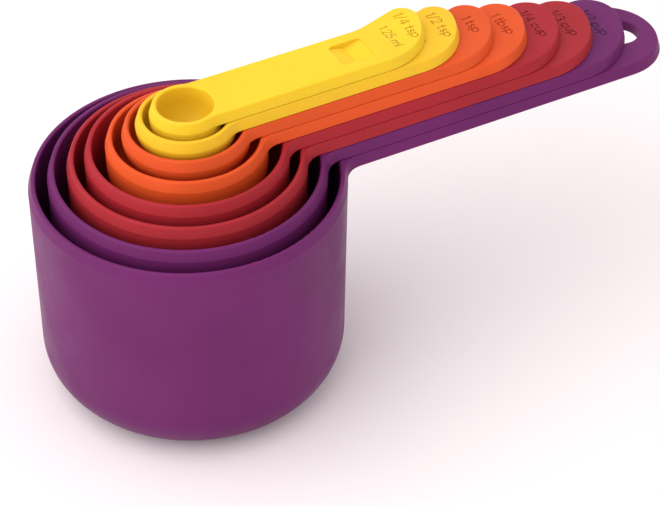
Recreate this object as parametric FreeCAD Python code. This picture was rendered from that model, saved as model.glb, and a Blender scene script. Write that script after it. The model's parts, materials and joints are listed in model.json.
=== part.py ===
import FreeCAD, Part
import math
import os
from FreeCAD import Vector

# A nest of eight one-piece moulded measures, stored one inside the other.
# Millimetres, +Z up. The origin is the centre of the 1 cup measure's base,
# the bowls share the Z axis, and every handle points along +X.
# Level 0 is the largest measure, at the bottom, and level 7 the smallest.

# ---- driving dimensions -------------------------------------------------

BAND_HEIGHT = 2.91      # rim ring and handle plate, top to bottom
STACK_GAP = 0.10        # air between one handle and the next one up
BAND_DRAFT = 0.9        # how far the band's side leans in, bottom to top
RIM_WIDTH = 2.0         # lip's inner edge to the ring's bottom outer edge
WALL = 1.9              # bowl wall, just under the ring
WALL_OVERLAP = 0.2      # how far the wall reaches up inside the ring
SHORTEST_WALL = 0.1     # straight part of the outside wall of the shallowest bowls
FLOOR = 1.6             # bowl floor
WALL_DRAFT = 0.012      # inward lean of the bowl wall per unit of depth
TOP_ROUND = 0.5         # rounding of the band's upper outside edge
UNDER_ROUND = 0.2       # rounding of the band's lower outside edge
LIP_ROUND = 0.5         # rounding of the lip's inner edge

TOP_HALF_WIDTH = 8.2    # half width of the smallest handle at its underside
NECK_RADIUS = 6.0       # hollow corner between the ring and the handle

# The handle's end sweeps round from the -Y side to a tip on the +Y side.
SWEEP_CENTRE_X = 51.95  # centre of the sweep on the smallest handle
SWEEP_STEP = 9.09       # how much further out it is on each larger handle
SWEEP_CENTRE_Y = 8.3
TIP_RADIUS = 4.9        # rounding of the tip on the smallest handle
TIP_RADIUS_STEP = 0.65
TIP_CENTRE_Y = 7.0
TIP_CENTRE_Y_STEP = -0.12
FLARE_ANGLE = 17.4      # lean of the +Y side as it widens towards the tip
FLARE_RADIUS = 12.0     # hollow curve where the widening starts

# The largest handle ends in a plain half round with a hole to hang it by.
END_CENTRE_X = 121.1
HANG_HOLE_X = 125.4
HANG_HOLE_RADIUS = 5.0
HANG_HOLE_ROUND = 0.3

# A pocket in the top of each handle takes the lug of the next one.
POCKET_X = (40.7, 49.9)
POCKET_WIDTH = 8.4
POCKET_DEPTH = (0.4, 1.6)   # at its two ends, and along its middle
POCKET_CORNER = 1.4
LUG_CLEARANCE = 0.35

# The size is engraved in two lines at the handle's end, read from the +Y side.
NAME_CAP_HEIGHT = 2.7
NAME_BASELINE_X = 61.6      # on the smallest handle
NAME_STEP = 9.44            # how much further out it is on each larger handle
NAME_CENTRE_Y = 3.1
METRIC_CAP_HEIGHT = 2.4
METRIC_DROP = 5.8           # from the name's baseline to the metric line's
METRIC_CENTRE_Y = 0.8
NESTED_METRIC_DROP = 7.7    # on all but the smallest, so that the next handle covers it
NESTED_METRIC_CENTRE_Y = 2.4
ROUND_END_BASELINE_X = 111.2
PEN = 0.13                  # stroke width as a share of the cap height
ENGRAVING_DEPTH = 0.25

# node name, volume in ml, lip radius, bowl's inside corner radius, engraved lines
MEASURES = [
    ("measure_1_cup", 250.0, 37.25, 11.3, "1 cup", "250 ml"),
    ("measure_half_cup", 125.0, 32.4, 11.0, "1/2 cup", "125 ml"),
    ("measure_third_cup", 250.0 / 3, 27.5, 8.5, "1/3 cup", "83 ml"),
    ("measure_quarter_cup", 60.0, 23.1, 7.0, "1/4 cup", "60 ml"),
    ("measure_1_tablespoon", 15.0, 17.9, 8.5, "1 tbsp", "15 ml"),
    ("measure_1_teaspoon", 5.0, 13.8, 8.0, "1 tsp", "5 ml"),
    ("measure_half_teaspoon", 2.5, 10.4, 7.0, "1/2 tsp", "2.5 ml"),
    ("measure_quarter_teaspoon", 1.25, 6.95, 5.6, "1/4 tsp", "1.25 ml"),
]

# Plain stroke lettering, with the cap height as 1 and small letters 0.6 high.
# Each glyph has its advance and its strokes: x, y to x, y for a straight one, centre
# x, y, radius and start and end angle in degrees for an arc, or centre x, y, half
# width and half height in a pair for a closed ring.
GLYPHS = {
    " ": (0.32, []),
    ".": (0.30, [(0.06, 0.0, 0.06, 0.04)]),
    "/": (0.62, [(0.0, -0.06, 0.38, 1.06)]),
    "0": (0.80, [(0.28, 0.50, (0.28, 0.50))]),
    "1": (0.50, [(0.04, 0.78, 0.26, 1.0), (0.26, 1.0, 0.26, 0.0)]),
    "2": (0.76, [(0.28, 0.73, 0.27, -35, 180), (0.50, 0.575, 0.02, 0.0), (0.02, 0.0, 0.54, 0.0)]),
    "3": (0.76, [(0.26, 0.76, 0.24, -90, 150), (0.26, 0.26, 0.26, -150, 90)]),
    "4": (0.80, [(0.42, 0.0, 0.42, 1.0), (0.42, 1.0, 0.0, 0.3), (0.0, 0.3, 0.58, 0.3)]),
    "5": (0.78, [(0.50, 1.0, 0.10, 1.0), (0.10, 1.0, 0.06, 0.55), (0.26, 0.31, 0.31, -145, 130)]),
    "6": (0.80, [(0.28, 0.28, (0.28, 0.28)), (0.02, 0.38, 0.38, 1.0)]),
    "8": (0.80, [(0.28, 0.77, (0.23, 0.23)), (0.28, 0.27, (0.27, 0.27))]),
    "b": (0.80, [(0.0, 1.0, 0.0, 0.0), (0.30, 0.30, (0.30, 0.30))]),
    "c": (0.72, [(0.30, 0.30, 0.30, 45, 315)]),
    "l": (0.26, [(0.0, 1.0, 0.0, 0.0)]),
    "m": (1.04, [(0.0, 0.6, 0.0, 0.0), (0.21, 0.39, 0.21, 0, 180), (0.42, 0.39, 0.42, 0.0),
                 (0.63, 0.39, 0.21, 0, 180), (0.84, 0.39, 0.84, 0.0)]),
    "p": (0.76, [(0.0, 0.6, 0.0, -0.3), (0.30, 0.30, (0.30, 0.30))]),
    "s": (0.60, [(0.21, 0.45, 0.15, 30, 270), (0.21, 0.15, 0.15, -150, 90)]),
    "t": (0.52, [(0.14, 0.92, 0.14, 0.16), (0.30, 0.16, 0.16, 180, 280), (0.0, 0.6, 0.32, 0.6)]),
    "u": (0.76, [(0.0, 0.6, 0.0, 0.26), (0.26, 0.26, 0.26, 180, 360), (0.52, 0.6, 0.52, 0.0)]),
}

LAST = len(MEASURES) - 1
UP = Vector(0, 0, 1)


# ---- bowls --------------------------------------------------------------

def brim_volume(lip_radius, corner, depth):
    """Volume in mm3 of a bowl with a leaning wall, a round corner and a flat floor."""
    wall_height = depth - corner
    foot_radius = lip_radius - WALL_DRAFT * wall_height
    wall_part = wall_height / 3 * (lip_radius**2 + lip_radius * foot_radius + foot_radius**2)
    inset = foot_radius - corner
    corner_part = inset**2 * corner + inset * math.pi * corner**2 / 2 + 2 / 3 * corner**3
    return math.pi * (wall_part + corner_part)


def bowl_depth(millilitres, lip_radius, corner):
    """Depth at which the bowl holds its stated volume to the brim, by bisection."""
    shallow = corner
    deep = 10 * lip_radius
    for _ in range(60):
        middle = (shallow + deep) / 2
        if brim_volume(lip_radius, corner, middle) < millilitres * 1000:
            shallow = middle
        else:
            deep = middle
    return deep


def turned(top_radius, top_z, bottom_z, corner):
    """Solid of revolution with a leaning wall, a round bottom corner and a flat bottom."""
    foot_radius = top_radius - WALL_DRAFT * (top_z - bottom_z - corner)
    diagonal = corner * math.sqrt(0.5)
    centre = Vector(foot_radius - corner, 0, bottom_z + corner)
    axis_top = Vector(0, 0, top_z)
    axis_bottom = Vector(0, 0, bottom_z)
    wall_top = Vector(top_radius, 0, top_z)
    wall_foot = Vector(foot_radius, 0, bottom_z + corner)
    floor_edge = Vector(foot_radius - corner, 0, bottom_z)
    round_corner = Part.Arc(wall_foot, centre + Vector(diagonal, 0, -diagonal), floor_edge)
    edges = [
        Part.LineSegment(axis_top, wall_top).toShape(),
        Part.LineSegment(wall_top, wall_foot).toShape(),
        round_corner.toShape(),
        Part.LineSegment(floor_edge, axis_bottom).toShape(),
        Part.LineSegment(axis_bottom, axis_top).toShape(),
    ]
    return Part.Face(Part.Wire(edges)).revolve(Vector(0, 0, 0), UP, 360)


DEPTHS = [bowl_depth(*row[1:4]) for row in MEASURES]
FIRST_RIM_Z = DEPTHS[0] + FLOOR


def rim_z(level):
    return FIRST_RIM_Z + level * (BAND_HEIGHT + STACK_GAP)


# ---- the band: rim ring and handle plate in one outline ------------------

def polar(centre, radius, angle):
    return centre + Vector(radius * math.cos(angle), radius * math.sin(angle), 0)


def arc(centre, radius, start, end):
    middle = (start + end) / 2
    points = [polar(centre, radius, angle) for angle in (start, middle, end)]
    return Part.Arc(*points).toShape()


def swept_end(level, half_width, inset):
    """Edges of a handle end from the -Y side round the tip, and where they start and stop."""
    steps = LAST - level
    beta = math.radians(FLARE_ANGLE)
    sweep_centre = Vector(SWEEP_CENTRE_X + SWEEP_STEP * steps, SWEEP_CENTRE_Y, 0)
    sweep_radius = half_width + SWEEP_CENTRE_Y
    tip_radius = TIP_RADIUS + TIP_RADIUS_STEP * steps - inset
    tip_y = TIP_CENTRE_Y + TIP_CENTRE_Y_STEP * steps
    drop = tip_y - SWEEP_CENTRE_Y
    reach = math.sqrt((sweep_radius - tip_radius)**2 - drop**2)
    tip_centre = Vector(sweep_centre.x + reach, tip_y, 0)
    join_angle = math.atan2(drop, reach)
    flare_angle = beta + math.pi / 2
    flare_radius = FLARE_RADIUS + inset
    rise = math.cos(beta) * (half_width + flare_radius - tip_y) - tip_radius - flare_radius
    flare_centre = Vector(tip_centre.x + rise / math.sin(beta), half_width + flare_radius, 0)
    flare_start = polar(tip_centre, tip_radius, flare_angle)
    flare_end = polar(flare_centre, flare_radius, beta - math.pi / 2)
    edges = [
        arc(sweep_centre, sweep_radius, -math.pi / 2, join_angle),
        arc(tip_centre, tip_radius, join_angle, flare_angle),
        Part.LineSegment(flare_start, flare_end).toShape(),
        arc(flare_centre, flare_radius, beta - math.pi / 2, -math.pi / 2),
    ]
    return edges, sweep_centre.x, flare_centre.x


def round_end(half_width):
    """Edges of the plain half round end, and where they start and stop."""
    centre = Vector(END_CENTRE_X, 0, 0)
    edges = [
        arc(centre, half_width, -math.pi / 2, 0),
        arc(centre, half_width, 0, math.pi / 2),
    ]
    return edges, END_CENTRE_X, END_CENTRE_X


def band_outline(level, inset, z):
    """Keyhole outline of one measure's band, moved in by inset, at height z."""
    lip_radius = MEASURES[level][2]
    ring_radius = lip_radius + RIM_WIDTH - inset
    half_width = TOP_HALF_WIDTH + BAND_DRAFT * (LAST - level) - inset
    neck_radius = NECK_RADIUS + inset
    neck_y = half_width + neck_radius
    neck_x = math.sqrt((ring_radius + neck_radius)**2 - neck_y**2)
    neck_angle = math.atan2(neck_y, neck_x)
    if level == 0:
        end_edges, near_end_x, far_end_x = round_end(half_width)
    else:
        end_edges, near_end_x, far_end_x = swept_end(level, half_width, inset)
    near_neck = Vector(neck_x, -neck_y, 0)
    far_neck = Vector(neck_x, neck_y, 0)
    quarter = math.pi / 2
    edges = [arc(near_neck, neck_radius, math.pi - neck_angle, quarter)]
    near_side = Part.LineSegment(Vector(neck_x, -half_width, 0), Vector(near_end_x, -half_width, 0))
    far_side = Part.LineSegment(Vector(far_end_x, half_width, 0), Vector(neck_x, half_width, 0))
    edges.append(near_side.toShape())
    edges.extend(end_edges)
    edges.append(far_side.toShape())
    edges.append(arc(far_neck, neck_radius, -quarter, neck_angle - math.pi))
    edges.append(arc(Vector(0, 0, 0), ring_radius, neck_angle, math.pi))
    edges.append(arc(Vector(0, 0, 0), ring_radius, math.pi, 2 * math.pi - neck_angle))
    wire = Part.Wire(edges)
    wire.translate(Vector(0, 0, z))
    return wire


def edges_at(shape, z):
    """Edges of a shape that lie wholly at height z."""
    found = []
    for edge in shape.Edges:
        box = edge.BoundBox
        if abs(box.ZMin - z) < 1e-4 and abs(box.ZMax - z) < 1e-4:
            found.append(edge)
    return found


def band(level):
    top = rim_z(level)
    bottom = top - BAND_HEIGHT
    lower = band_outline(level, 0, bottom)
    upper = band_outline(level, BAND_DRAFT, top)
    plate = Part.makeLoft([lower, upper], True, True)
    plate = plate.makeFillet(TOP_ROUND, edges_at(plate, top))
    return plate.makeFillet(UNDER_ROUND, edges_at(plate, bottom))


# ---- pockets and lugs ----------------------------------------------------

def wedge(x_range, width, depths, corner, top):
    """Block with a flat top at height top, rounded upright corners and a V underside that
    reaches the first depth at both ends and the second depth half way along."""
    x_low, x_high = x_range
    x_middle = (x_low + x_high) / 2
    profile = Part.makePolygon([
        Vector(x_low, -width / 2, top),
        Vector(x_high, -width / 2, top),
        Vector(x_high, -width / 2, top - depths[0]),
        Vector(x_middle, -width / 2, top - depths[1]),
        Vector(x_low, -width / 2, top - depths[0]),
        Vector(x_low, -width / 2, top),
    ])
    block = Part.Face(profile).extrude(Vector(0, width, 0))
    upright = []
    for edge in block.Edges:
        box = edge.BoundBox
        if box.XLength < 1e-4 and box.YLength < 1e-4:
            upright.append(edge)
    return block.makeFillet(corner, upright)


def pocket(level):
    return wedge(POCKET_X, POCKET_WIDTH, POCKET_DEPTH, POCKET_CORNER, rim_z(level))


def lug(level):
    """Lug under a handle, a clearance smaller all round than the pocket it drops into."""
    x_range = (POCKET_X[0] + LUG_CLEARANCE, POCKET_X[1] - LUG_CLEARANCE)
    width = POCKET_WIDTH - 2 * LUG_CLEARANCE
    below = [depth - LUG_CLEARANCE for depth in POCKET_DEPTH]
    overlap = BAND_HEIGHT / 4
    depths = [overlap + STACK_GAP + reach for reach in below]
    top = rim_z(level) - BAND_HEIGHT + overlap
    return wedge(x_range, width, depths, POCKET_CORNER - LUG_CLEARANCE, top)


# ---- engraved size marks -------------------------------------------------

def straight_stroke(x_start, y_start, x_end, y_end, half_pen):
    """Outline of a straight stroke with round ends."""
    start = Vector(x_start, y_start, 0)
    end = Vector(x_end, y_end, 0)
    angle = math.atan2(y_end - y_start, x_end - x_start)
    left = angle + math.pi / 2
    right = angle - math.pi / 2
    return Part.Wire([
        Part.LineSegment(polar(start, half_pen, right), polar(end, half_pen, right)).toShape(),
        arc(end, half_pen, right, left),
        Part.LineSegment(polar(end, half_pen, left), polar(start, half_pen, left)).toShape(),
        arc(start, half_pen, left, left + math.pi),
    ])


def round_stroke(x, y, radius, start, end, half_pen):
    """Outline of a part-circle stroke with round ends."""
    centre = Vector(x, y, 0)
    first = math.radians(start)
    last = math.radians(end)
    return Part.Wire([
        arc(centre, radius + half_pen, first, last),
        arc(polar(centre, radius, last), half_pen, last, last + math.pi),
        arc(centre, radius - half_pen, last, first),
        arc(polar(centre, radius, first), half_pen, first - math.pi, first),
    ])


def oval(x, y, half_width, half_height, thickness):
    """Upright prism on a circle, or on an ellipse that is taller than it is wide."""
    centre = Vector(x, y, 0)
    if half_width == half_height:
        curve = Part.Circle(centre, UP, half_width)
    else:
        curve = Part.Ellipse(centre + Vector(0, half_height, 0), centre + Vector(half_width, 0, 0), centre)
    return Part.Face(Part.Wire(curve.toShape())).extrude(UP * thickness)


def ring_stroke(x, y, half_width, half_height, half_pen, thickness):
    """Closed ring of the pen's width."""
    outer = oval(x, y, half_width + half_pen, half_height + half_pen, thickness)
    return outer.cut(oval(x, y, half_width - half_pen, half_height - half_pen, thickness))


def stroke_solid(stroke, scale, thickness):
    """One stroke of a glyph, scaled and raised to a solid."""
    half_pen = PEN / 2 * scale
    if len(stroke) == 3:
        x, y, halves = stroke
        sizes = [scale * value for value in (x, y, *halves)]
        return ring_stroke(*sizes, half_pen, thickness)
    if len(stroke) == 4:
        sizes = [scale * value for value in stroke]
        return Part.Face(straight_stroke(*sizes, half_pen)).extrude(UP * thickness)
    x, y, radius = [scale * value for value in stroke[:3]]
    outline = round_stroke(x, y, radius, *stroke[3:], half_pen)
    return Part.Face(outline).extrude(UP * thickness)


def lettering(text, scale, thickness):
    """Solid letters from the origin along +X, one solid or more for each glyph."""
    letters = []
    pen_x = 0.0
    for character in text:
        advance, strokes = GLYPHS[character]
        solids = [stroke_solid(stroke, scale, thickness) for stroke in strokes]
        if solids:
            letter = solids[0].fuse(solids[1:]) if len(solids) > 1 else solids[0]
            letter.translate(Vector(pen_x, 0, 0))
            letters.append(letter)
        pen_x += advance * scale
    return letters, pen_x


def engraving(level):
    """Cutters for the two lines of a handle's size mark."""
    if level == 0:
        baseline_x = ROUND_END_BASELINE_X
    else:
        baseline_x = NAME_BASELINE_X + NAME_STEP * (LAST - level)
    if level == LAST:
        drop, metric_centre_y = METRIC_DROP, METRIC_CENTRE_Y
    else:
        drop, metric_centre_y = NESTED_METRIC_DROP, NESTED_METRIC_CENTRE_Y
    name, metric = MEASURES[level][4:]
    lines = [
        (name, NAME_CAP_HEIGHT, baseline_x, NAME_CENTRE_Y),
        (metric, METRIC_CAP_HEIGHT, baseline_x - drop, metric_centre_y),
    ]
    cutters = []
    for text, cap_height, x, centre_y in lines:
        letters, length = lettering(text, cap_height, 2 * ENGRAVING_DEPTH)
        for letter in letters:
            letter.rotate(Vector(0, 0, 0), UP, -90)
            letter.translate(Vector(x, centre_y + length / 2, rim_z(level) - ENGRAVING_DEPTH))
            cutters.append(letter)
    return cutters


# ---- one whole measure ---------------------------------------------------

def hang_hole():
    top = rim_z(0)
    start = Vector(HANG_HOLE_X, 0, top - 2 * BAND_HEIGHT)
    return Part.makeCylinder(HANG_HOLE_RADIUS, 3 * BAND_HEIGHT, start, UP)


def lip_edges(shape, level):
    """The edge where the bowl's inside meets the top of the rim."""
    lip_radius = MEASURES[level][2]
    found = []
    for edge in edges_at(shape, rim_z(level)):
        box = edge.BoundBox
        if box.XMax < lip_radius + 0.1 and box.XMin > -lip_radius - 0.1:
            found.append(edge)
    return found


def hole_edges(shape):
    """The two rims of the hole that the largest measure hangs by."""
    found = []
    for edge in shape.Edges:
        box = edge.BoundBox
        is_ring = abs(box.XLength - 2 * HANG_HOLE_RADIUS) < 0.1
        if is_ring and abs(box.Center.x - HANG_HOLE_X) < 0.1 and box.ZLength < 1e-4:
            found.append(edge)
    return found


def measure(level):
    lip_radius, corner = MEASURES[level][2:4]
    depth = DEPTHS[level]
    top = rim_z(level)
    floor_z = top - depth
    shell_top = top - BAND_HEIGHT + WALL_OVERLAP
    foot_z = floor_z - FLOOR
    outer_corner = min(corner + WALL, shell_top - foot_z - SHORTEST_WALL)
    outside = turned(lip_radius + WALL, shell_top, foot_z, outer_corner)
    inside = turned(lip_radius, top, floor_z, corner)
    shape = band(level).fuse(outside)
    if level > 0:
        shape = shape.fuse(lug(level))
    shape = shape.cut(inside)
    shape = shape.cut(pocket(level))
    if level == 0:
        shape = shape.cut(hang_hole())
        shape = shape.makeFillet(HANG_HOLE_ROUND, hole_edges(shape))
    shape = shape.removeSplitter()
    shape = shape.makeFillet(LIP_ROUND, lip_edges(shape, level))
    return shape.cut(engraving(level))


os.makedirs("parts", exist_ok=True)
for level, row in enumerate(MEASURES):
    solid = measure(level)
    solid.exportStep("parts/" + row[0] + ".step")
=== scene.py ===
import json
import math

import bpy
from mathutils import Matrix, Vector


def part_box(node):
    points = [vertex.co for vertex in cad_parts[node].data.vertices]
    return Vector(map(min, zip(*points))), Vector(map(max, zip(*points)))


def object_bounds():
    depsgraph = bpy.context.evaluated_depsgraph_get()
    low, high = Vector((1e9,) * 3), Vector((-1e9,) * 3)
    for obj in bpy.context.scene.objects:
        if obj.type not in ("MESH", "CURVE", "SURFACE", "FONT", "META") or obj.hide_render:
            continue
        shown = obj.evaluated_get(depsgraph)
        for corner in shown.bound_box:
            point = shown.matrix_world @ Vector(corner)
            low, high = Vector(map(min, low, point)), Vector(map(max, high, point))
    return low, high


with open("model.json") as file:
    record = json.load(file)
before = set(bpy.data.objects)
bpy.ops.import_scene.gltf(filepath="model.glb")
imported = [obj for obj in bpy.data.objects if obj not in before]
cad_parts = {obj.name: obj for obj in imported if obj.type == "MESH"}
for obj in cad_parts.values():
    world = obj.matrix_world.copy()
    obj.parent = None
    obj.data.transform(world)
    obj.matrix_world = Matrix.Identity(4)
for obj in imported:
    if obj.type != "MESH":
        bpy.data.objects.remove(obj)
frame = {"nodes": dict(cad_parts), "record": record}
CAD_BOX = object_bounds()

# Everything is in metres, in the CAD frame: +Z up through the bowls, +X along the handles.
MM = 0.001

# ---- finishes -----------------------------------------------------------
# Linear base colours of the plastics. "glow" is how much light goes into the plastic
# and comes out again beside the spot it entered, which is most in the pale colours.

FINISHES = {
    "purple_plastic": dict(colour=(0.134, 0.017, 0.108), glow=0.05),
    "crimson_plastic": dict(colour=(0.342, 0.020, 0.028), glow=0.08),
    "red_plastic": dict(colour=(0.352, 0.019, 0.028), glow=0.08),
    "orange_plastic": dict(colour=(0.670, 0.083, 0.017), glow=0.14),
    "vermilion_plastic": dict(colour=(0.640, 0.081, 0.017), glow=0.14),
    "golden_yellow_plastic": dict(colour=(0.770, 0.460, 0.022), glow=0.22),
    "lemon_yellow_plastic": dict(colour=(0.780, 0.515, 0.024), glow=0.30),
}

PLASTIC_IOR = 1.49
PLASTIC_SPECULAR = 0.12
GLOW_REACH = 1.6 * MM
GLOW_REACH_BY_COLOUR = (1.0, 0.45, 0.12)    # red light goes furthest through the plastic

# Pigment: broad drifts and fine specks, as factors on the base colour.
DRIFT_SIZE = 30 * MM
DRIFT_DEEP = 0.94
DRIFT_PALE = 1.05
SPECK_SIZE = 0.9 * MM
SPECK_SHADE = 0.62
SPECK_OPACITY = 0.16

# Wear on edges that are sharper than the radius: paler, and smoother, in patches.
EDGE_RADIUS = 0.45 * MM
EDGE_SAMPLES = 6
PATCH_SIZE = 6 * MM
RUBBED_OPACITY = 0.45
RUBBED_SHADE = 0.86
RUBBED_WHITE = 0.05
RUBBED_ROUGHNESS = -0.10

# Size marks: their floors lie this far below the top of the handle, and are painted darker there as
# shade in the grooves.
ENGRAVING_DEPTH = 0.25 * MM
ENGRAVING_TOLERANCE = 0.06 * MM
GROOVE_SHADE_OPACITY = 0.85
GROOVE_SHADE = 0.58
GROOVE_SATURATION = 1.5

# Roughness: finger smudges between the two values, and a finer unevenness on top.
SMUDGE_SIZE = 12 * MM
SMUDGE_SMOOTH = 0.40
SMUDGE_ROUGH = 0.50
UNEVEN_SIZE = 0.7 * MM
UNEVEN_SPREAD = 0.08

# Relief: the sink of thick parts, the mould's grain, and hairline scuffs along the handle.
SINK_SIZE = 20 * MM
SINK_DEPTH = 0.06 * MM
GRAIN_SIZE = 0.28 * MM
GRAIN_DEPTH = 0.012 * MM
HAIRLINE_WIDTH = 0.22 * MM
HAIRLINE_STRETCH = (0.02, 1.0, 1.0)
HAIRLINE_DEPTH = 0.006 * MM

# ---- studio -------------------------------------------------------------

FLOOR_SPAN = 40             # the floor's half width, in diagonals of the object's box
FLOOR_GAP = 0.05 * MM       # between the object's base and the floor
FLOOR_COLOUR = (0.86, 0.80, 0.805)
FLOOR_TONE_SIZE = 250 * MM
FLOOR_DEEP = 0.99
FLOOR_FIBRE_SIZE = 1.2 * MM
FLOOR_FIBRE_DEPTH = 0.02 * MM
FLOOR_ROUGHNESS = 0.75
FLOOR_SPECULAR = 0.25

WORLD_COLOUR = (1.0, 0.985, 0.99)
WORLD_STRENGTH = 0.99

KEY_LIGHT = dict(azimuth=-92, elevation=45, distance=0.9, size=1.4, power=8.4)

CAMERA_AZIMUTH = -28.491
CAMERA_ELEVATION = 40.491
CAMERA_ROLL = math.radians(0.318)
CAMERA_DISTANCE = 0.6738
CAMERA_RIGHT = 0.03495      # how far the line of sight passes the frame's origin
CAMERA_UP = 0.02703
CAMERA_LENS = 141.5
CAMERA_NEAR = 0.01
CAMERA_FAR = 50.0


# ---- shader helpers -----------------------------------------------------

class Shader:
    """A material's node tree, with one short call for each kind of node it needs."""

    def __init__(self, name):
        self.material = bpy.data.materials.new(name)
        self.material.use_nodes = True
        self.tree = self.material.node_tree
        self.surface = self.tree.nodes["Principled BSDF"]
        self.coordinates = self.tree.nodes.new("ShaderNodeTexCoord")

    def feed(self, socket, value):
        """A link if the value is another node's output, and otherwise the socket's own number."""
        if isinstance(value, bpy.types.NodeSocket):
            self.tree.links.new(value, socket)
        else:
            socket.default_value = value

    def compute(self, operation, *values):
        """The result of one arithmetic node on up to three numbers or outputs."""
        node = self.tree.nodes.new("ShaderNodeMath")
        node.operation = operation
        for socket, value in zip(node.inputs, values):
            self.feed(socket, value)
        return node.outputs["Value"]

    def ramp(self, value, low, high, to_low=0.0, to_high=1.0):
        """The value's stretch from low to high, mapped smoothly to the two given ends."""
        node = self.tree.nodes.new("ShaderNodeMapRange")
        node.interpolation_type = "SMOOTHSTEP"
        self.feed(node.inputs["Value"], value)
        ends = (("From Min", low), ("From Max", high), ("To Min", to_low), ("To Max", to_high))
        for socket, end in ends:
            node.inputs[socket].default_value = end
        return node.outputs["Result"]

    def stretched(self, scale):
        """Object coordinates scaled by a different factor along each axis."""
        node = self.tree.nodes.new("ShaderNodeMapping")
        self.feed(node.inputs["Vector"], self.coordinates.outputs["Object"])
        node.inputs["Scale"].default_value = scale
        return node.outputs["Vector"]

    def noise(self, size, detail, vector=None):
        """Soft noise whose blotches are about the given size across, in metres."""
        node = self.tree.nodes.new("ShaderNodeTexNoise")
        self.feed(node.inputs["Vector"], vector or self.coordinates.outputs["Object"])
        node.inputs["Scale"].default_value = 1.0 / size
        node.inputs["Detail"].default_value = detail
        return node.outputs["Fac"]

    def mix(self, factor, a, b):
        """Colour a where the factor is 0, and colour b where it is 1."""
        node = self.tree.nodes.new("ShaderNodeMix")
        node.data_type = "RGBA"
        self.feed(node.inputs["Factor"], factor)
        self.feed(node.inputs["A"], a)
        self.feed(node.inputs["B"], b)
        return node.outputs["Result"]

    def bump(self, height, distance, strength, below=None):
        """A relief of the given depth in metres, on top of the relief below it."""
        node = self.tree.nodes.new("ShaderNodeBump")
        self.feed(node.inputs["Height"], height)
        node.inputs["Distance"].default_value = distance
        node.inputs["Strength"].default_value = strength
        if below is not None:
            self.feed(node.inputs["Normal"], below)
        return node.outputs["Normal"]

    def height_of(self, coordinate):
        """The Z value of one of the texture coordinates."""
        node = self.tree.nodes.new("ShaderNodeSeparateXYZ")
        self.feed(node.inputs["Vector"], self.coordinates.outputs[coordinate])
        return node.outputs["Z"]

    def edge_mask(self, radius):
        """1 on corners that are sharper than the given radius, fading to 0 on flat faces."""
        bevel = self.tree.nodes.new("ShaderNodeBevel")
        bevel.samples = EDGE_SAMPLES
        bevel.inputs["Radius"].default_value = radius
        geometry = self.tree.nodes.new("ShaderNodeNewGeometry")
        dot = self.tree.nodes.new("ShaderNodeVectorMath")
        dot.operation = "DOT_PRODUCT"
        self.feed(dot.inputs[0], bevel.outputs["Normal"])
        self.feed(dot.inputs[1], geometry.outputs["Normal"])
        return self.ramp(dot.outputs["Value"], low=0.99, high=0.86)


def opaque(colour):
    return (*colour, 1.0)


def shade(colour, factor):
    return opaque(tuple(channel * factor for channel in colour))


def painted_groove_shade(colour):
    """Painted shade for the groove floors: what is left of the light that met the plastic more than
    once in a groove.
    """
    return shade(tuple(channel ** GROOVE_SATURATION for channel in colour), GROOVE_SHADE)


def rubbed(colour):
    """The paler colour of a worn edge."""
    return opaque(tuple(RUBBED_SHADE * channel + RUBBED_WHITE for channel in colour))


# ---- moulded plastic ----------------------------------------------------

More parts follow.
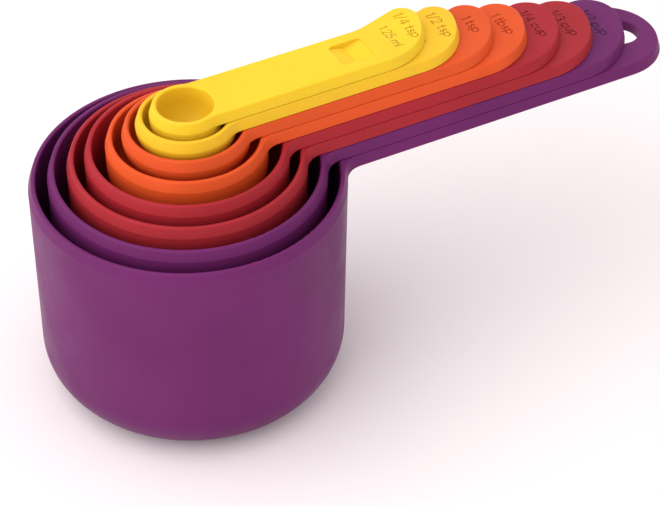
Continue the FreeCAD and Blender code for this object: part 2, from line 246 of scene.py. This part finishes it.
def moulded_plastic(name, colour, glow, top):
    """Satin moulded plastic with a fine spark-eroded grain, handled and slightly worn.
    top is the height of the handle's upper face, below which the size marks are cut; their floors
    get painted shade."""
    s = Shader(name)

    # The pigment is not quite even: broad pale and deep drifts, and fine specks.
    drift = s.ramp(s.noise(DRIFT_SIZE, detail=3.0), low=0.35, high=0.65)
    pigment = s.mix(drift, shade(colour, DRIFT_DEEP), shade(colour, DRIFT_PALE))
    specks = s.ramp(s.noise(SPECK_SIZE, detail=1.0), low=0.66, high=0.76, to_high=SPECK_OPACITY)
    pigment = s.mix(specks, pigment, shade(colour, SPECK_SHADE))

    # Edges are rubbed paler and smoother, in broken stretches.
    patches = s.ramp(s.noise(PATCH_SIZE, detail=3.0), low=0.40, high=0.62, to_low=0.25)
    worn = s.compute("MULTIPLY", s.edge_mask(EDGE_RADIUS), patches)
    pigment = s.mix(s.compute("MULTIPLY", worn, RUBBED_OPACITY), pigment, rubbed(colour))

    # Painted shade: the floors of the engraved marks are darkened and deepened in colour, as shade
    # in the grooves.
    facing_up = s.ramp(s.height_of("Normal"), low=0.80, high=0.95)
    below_top = s.compute("SUBTRACT", top, s.height_of("Object"))
    groove_shade_mask = s.compute("COMPARE", below_top, ENGRAVING_DEPTH, ENGRAVING_TOLERANCE)
    groove_shade_mask = s.compute("MULTIPLY", groove_shade_mask, facing_up)
    # the painted groove shade is mixed into the pigment here
    pigment = s.mix(s.compute("MULTIPLY", groove_shade_mask, GROOVE_SHADE_OPACITY), pigment, painted_groove_shade(colour))
    s.feed(s.surface.inputs["Base Color"], pigment)

    # Roughness: an even satin, smudged by fingers and polished where it is worn.
    smudges = s.noise(SMUDGE_SIZE, detail=4.0)
    smudges = s.ramp(smudges, low=0.38, high=0.64, to_low=SMUDGE_SMOOTH, to_high=SMUDGE_ROUGH)
    uneven = s.noise(UNEVEN_SIZE, detail=2.0)
    uneven = s.compute("MULTIPLY_ADD", uneven, UNEVEN_SPREAD, -UNEVEN_SPREAD / 2)
    roughness = s.compute("ADD", smudges, uneven)
    roughness = s.compute("MULTIPLY_ADD", worn, RUBBED_ROUGHNESS, roughness)
    s.feed(s.surface.inputs["Roughness"], roughness)

    # Bump: slight sink of the thick parts, mould grain, and hairline scuffs along the handle.
    sink = s.bump(s.noise(SINK_SIZE, detail=2.0), SINK_DEPTH, strength=0.5)
    grain = s.bump(s.noise(GRAIN_SIZE, detail=2.0), GRAIN_DEPTH, strength=0.55, below=sink)
    hairlines = s.noise(HAIRLINE_WIDTH, detail=1.0, vector=s.stretched(HAIRLINE_STRETCH))
    hairlines = s.ramp(hairlines, low=0.64, high=0.74)
    cut = s.compute("MULTIPLY", hairlines, -1.0)
    s.feed(s.surface.inputs["Normal"], s.bump(cut, HAIRLINE_DEPTH, strength=0.5, below=grain))

    s.surface.inputs["IOR"].default_value = PLASTIC_IOR
    s.surface.inputs["Specular IOR Level"].default_value = PLASTIC_SPECULAR
    s.surface.inputs["Subsurface Weight"].default_value = glow
    s.surface.inputs["Subsurface Radius"].default_value = GLOW_REACH_BY_COLOUR
    s.surface.inputs["Subsurface Scale"].default_value = GLOW_REACH
    return s.material


def dress_measures():
    """Gives each measure its own plastic, from the record's slot for its node."""
    for part in frame["record"]["subparts"]:
        node = part["node"]
        finish = FINISHES[part["material_slot"]]
        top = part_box(node)[1].z
        material = moulded_plastic(node + "_plastic", finish["colour"], finish["glow"], top)
        for slot in frame["nodes"][node].material_slots:
            slot.material = material


# ---- floor, light and camera --------------------------------------------

def pale_paper():
    """Matte paper with a faint unevenness of tone and a fine fibre."""
    s = Shader("pale_paper")
    tone = s.ramp(s.noise(FLOOR_TONE_SIZE, detail=2.0), low=0.3, high=0.7)
    tone = s.mix(tone, shade(FLOOR_COLOUR, FLOOR_DEEP), opaque(FLOOR_COLOUR))
    s.feed(s.surface.inputs["Base Color"], tone)
    fibres = s.noise(FLOOR_FIBRE_SIZE, detail=3.0)
    s.feed(s.surface.inputs["Normal"], s.bump(fibres, FLOOR_FIBRE_DEPTH, strength=0.4))
    s.surface.inputs["Roughness"].default_value = FLOOR_ROUGHNESS
    s.surface.inputs["Specular IOR Level"].default_value = FLOOR_SPECULAR
    return s.material


def make_floor():
    """A pale seamless sheet, far larger than the object, that it stands on."""
    side = FLOOR_SPAN * (CAD_BOX[1] - CAD_BOX[0]).length
    mesh = bpy.data.meshes.new("studio_floor")
    corners = [(-side, -side, 0), (side, -side, 0), (side, side, 0), (-side, side, 0)]
    mesh.from_pydata(corners, [], [(0, 1, 2, 3)])
    mesh.materials.append(pale_paper())
    floor = bpy.data.objects.new("studio_floor", mesh)
    bpy.context.scene.collection.objects.link(floor)
    floor.location.z = CAD_BOX[0].z - FLOOR_GAP


def make_world():
    """Soft light from all round."""
    world = bpy.data.worlds.new("soft_surround")
    world.use_nodes = True
    background = world.node_tree.nodes["Background"]
    background.inputs["Color"].default_value = opaque(WORLD_COLOUR)
    background.inputs["Strength"].default_value = WORLD_STRENGTH
    bpy.context.scene.world = world


def direction(azimuth, elevation):
    """Unit vector from the object: azimuth 0 is -Y and 90 is +X, in degrees."""
    a = math.radians(azimuth)
    e = math.radians(elevation)
    return Vector((math.sin(a) * math.cos(e), -math.cos(a) * math.cos(e), math.sin(e)))


def make_softbox(name, azimuth, elevation, distance, size, power):
    """A square softbox that faces the middle of the object."""
    light = bpy.data.lights.new(name, "AREA")
    light.shape = "SQUARE"
    light.size = size
    light.energy = power
    softbox = bpy.data.objects.new(name, light)
    bpy.context.scene.collection.objects.link(softbox)
    back = direction(azimuth, elevation)
    softbox.location = (CAD_BOX[0] + CAD_BOX[1]) / 2 + distance * back
    softbox.rotation_mode = "QUATERNION"
    softbox.rotation_quaternion = (-back).to_track_quat("-Z", "Y")


def make_camera():
    """A long lens from the front left and above, rolled by a fraction of a degree."""
    back = direction(CAMERA_AZIMUTH, CAMERA_ELEVATION)
    level = Vector((0, 0, 1)).cross(back).normalized()
    right = math.cos(CAMERA_ROLL) * level + math.sin(CAMERA_ROLL) * back.cross(level)
    up = back.cross(right)
    place = CAMERA_RIGHT * right + CAMERA_UP * up + CAMERA_DISTANCE * back
    data = bpy.data.cameras.new("camera")
    data.lens = CAMERA_LENS
    data.clip_start = CAMERA_NEAR
    data.clip_end = CAMERA_FAR
    camera = bpy.data.objects.new("camera", data)
    camera.matrix_world = Matrix.Translation(place) @ Matrix((right, up, back)).transposed().to_4x4()
    bpy.context.scene.collection.objects.link(camera)
    bpy.context.scene.camera = camera


# ---- the scene ----------------------------------------------------------

dress_measures()
make_floor()
make_world()
make_softbox("key_light", **KEY_LIGHT)
make_camera()

bpy.context.scene.view_settings.view_transform = "Standard"
bpy.context.scene.view_settings.look = "None"
